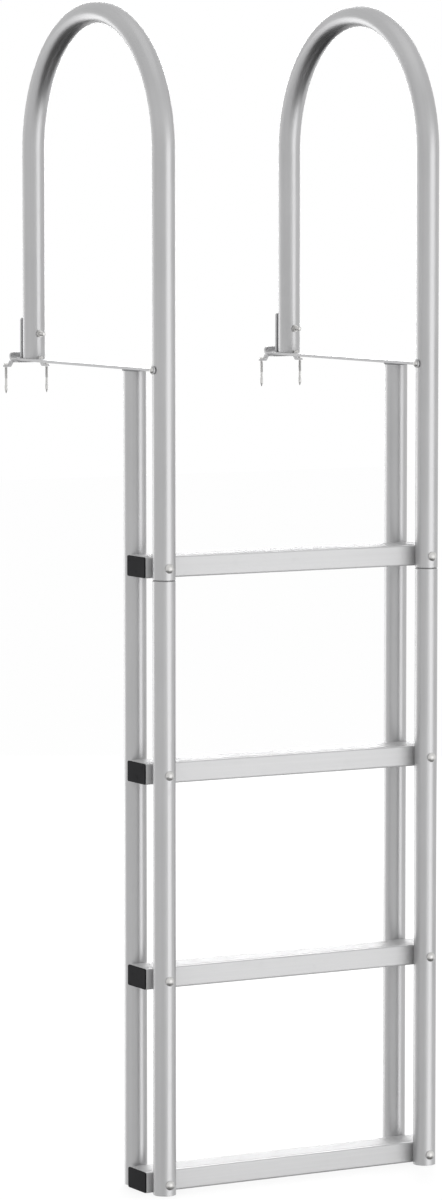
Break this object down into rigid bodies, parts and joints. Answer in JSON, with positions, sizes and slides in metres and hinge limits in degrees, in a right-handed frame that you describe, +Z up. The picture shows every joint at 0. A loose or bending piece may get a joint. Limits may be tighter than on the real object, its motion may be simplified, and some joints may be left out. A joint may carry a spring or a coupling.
{
  "type": "dock ladder",
  "caption": "Fixed dock ladder of bent tube: hooped handrails that bolt to the deck on flat brackets, twin posts each side, and box steps with end caps.",
  "frame": {"origin": "underside of the left cross foot's outer ear on its screw's axis, where it rests on the deck", "axes": "+Z up, +Y from the water towards the dock, +X to the right as seen from the water"},
  "size_m": [0.53, 0.477, 1.762],
  "materials": {
    "tube_aluminium": "satin anodised tube, drawn along its length",
    "step_aluminium": "satin extruded box section with ribbed top",
    "bracket_aluminium": "satin flat bar",
    "bolt_steel": "stainless fasteners, turned and lightly polished",
    "cap_plastic": "black moulded plastic with a fine grain"
  },
  "bodies": {
    "root": {"cross_foot_left": "bracket_aluminium", "cross_foot_right": "bracket_aluminium", "deck_screws_left": "bolt_steel", "deck_screws_right": "bolt_steel", "deck_strip_left": "bracket_aluminium", "deck_strip_right": "bracket_aluminium", "fork_bolt_left": "bolt_steel", "fork_bolt_right": "bolt_steel", "fork_nut_left": "bolt_steel", "fork_nut_right": "bolt_steel", "front_post_left": "tube_aluminium", "front_post_right": "tube_aluminium", "handrail_left": "tube_aluminium", "handrail_right": "tube_aluminium", "leg_bolt_left": "bolt_steel", "leg_bolt_right": "bolt_steel", "leg_nut_left": "bolt_steel", "leg_nut_right": "bolt_steel", "leg_tab_left": "bracket_aluminium", "leg_tab_right": "bracket_aluminium", "rear_post_left": "tube_aluminium", "rear_post_right": "tube_aluminium", "step_1": "step_aluminium", "step_1_bolts": "bolt_steel", "step_1_cap_left": "cap_plastic", "step_1_cap_right": "cap_plastic", "step_1_nuts": "bolt_steel", "step_2": "step_aluminium", "step_2_bolts": "bolt_steel", "step_2_cap_left": "cap_plastic", "step_2_cap_right": "cap_plastic", "step_2_nuts": "bolt_steel", "step_3": "step_aluminium", "step_3_bolts": "bolt_steel", "step_3_cap_left": "cap_plastic", "step_3_cap_right": "cap_plastic", "step_3_nuts": "bolt_steel", "step_4": "step_aluminium", "step_4_bolts": "bolt_steel", "step_4_cap_left": "cap_plastic", "step_4_cap_right": "cap_plastic", "step_4_nuts": "bolt_steel"}
  },
  "joints": []
}
